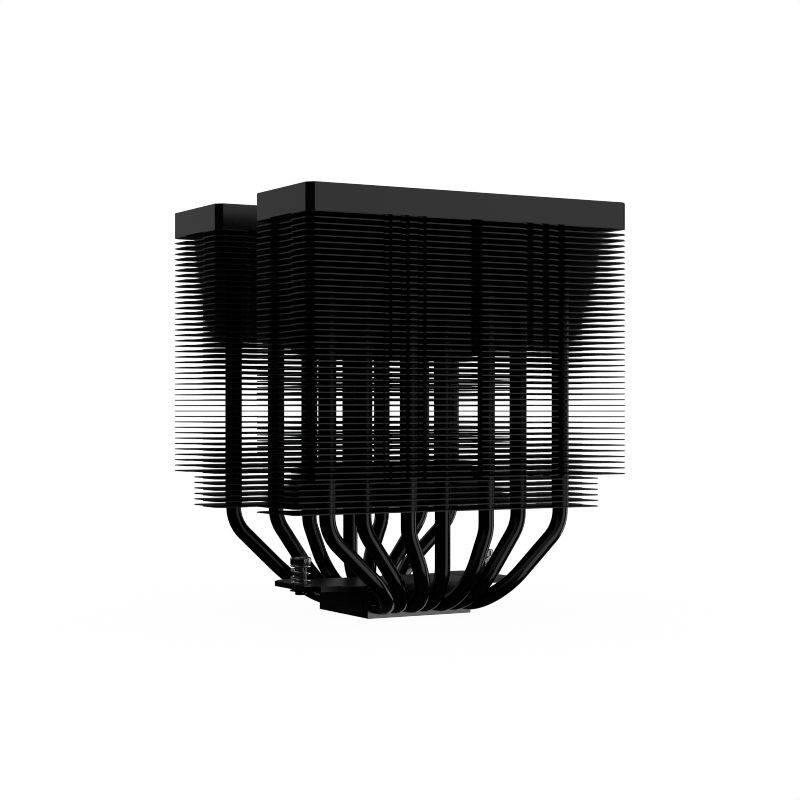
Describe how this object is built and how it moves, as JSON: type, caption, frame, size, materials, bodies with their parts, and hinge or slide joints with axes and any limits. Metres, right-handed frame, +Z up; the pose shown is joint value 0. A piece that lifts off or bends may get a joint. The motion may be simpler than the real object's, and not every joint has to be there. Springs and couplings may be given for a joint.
{
  "type": "cpu tower cooler",
  "caption": "Twin-tower air cooler for a processor: finned stacks with smooth caps on fanned-out heat pipes, and a base with a sprung mounting bar.",
  "frame": {"origin": "centre of the base's contact face, which is also the middle of the bottom of the bounding box", "axes": "+X along the wide faces of the towers, +Y from the front tower to the rear tower, +Z up from the contact face to the caps"},
  "size_m": [0.1384, 0.1238, 0.16],
  "materials": {
    "fins": "black coated, satin, stamped sheet 0.4 mm",
    "cover": "black, satin, finely brushed along the tower",
    "pipes": "black, glossy plating over copper",
    "base_plate": "dark nickel plating, satin",
    "base_cover": "black coated, satin",
    "mounting_bar": "black powder coat, satin",
    "black_screws": "black oxide",
    "spring_screws": "dark nickel, polished",
    "springs": "bright spring wire",
    "clips": "blackened spring steel"
  },
  "bodies": {
    "cooler": {"base_plate": "base_plate", "base_cover": "base_cover", "heat_pipe_1": "pipes", "heat_pipe_2": "pipes", "heat_pipe_3": "pipes", "heat_pipe_4": "pipes", "heat_pipe_5": "pipes", "heat_pipe_6": "pipes", "heat_pipe_7": "pipes", "mounting_bar": "mounting_bar", "bar_screws": "black_screws", "front_fins": "fins", "front_lower_fins": "fins", "front_cover_plate": "fins", "front_cover": "cover", "front_cover_screws": "black_screws", "rear_fins": "fins", "rear_lower_fins": "fins", "rear_cover_plate": "fins", "rear_cover": "cover", "rear_cover_screws": "black_screws", "left_spring": "springs", "right_spring": "springs"},
    "left_clip": {"left_clip": "clips"},
    "left_screw": {"left_screw": "spring_screws"},
    "right_clip": {"right_clip": "clips"},
    "right_screw": {"right_screw": "spring_screws"}
  },
  "joints": [
    {"name": "left_screw_press", "type": "slide", "parent": "cooler", "child": "left_clip", "axis": [0, 0, -1], "range_m": [0, 0.003], "stiffness_N_per_m": 3000, "springref_m": -0.003, "deforming": ["left_spring"]},
    {"name": "left_screw_turn", "type": "hinge", "parent": "left_clip", "child": "left_screw", "pos_m": [-0.0415, 0, 0.015], "axis": [0, 0, -1], "continuous": true},
    {"name": "right_screw_press", "type": "slide", "parent": "cooler", "child": "right_clip", "axis": [0, 0, -1], "range_m": [0, 0.003], "stiffness_N_per_m": 3000, "springref_m": -0.003, "deforming": ["right_spring"]},
    {"name": "right_screw_turn", "type": "hinge", "parent": "right_clip", "child": "right_screw", "pos_m": [0.0415, 0, 0.015], "axis": [0, 0, -1], "continuous": true}
  ]
}
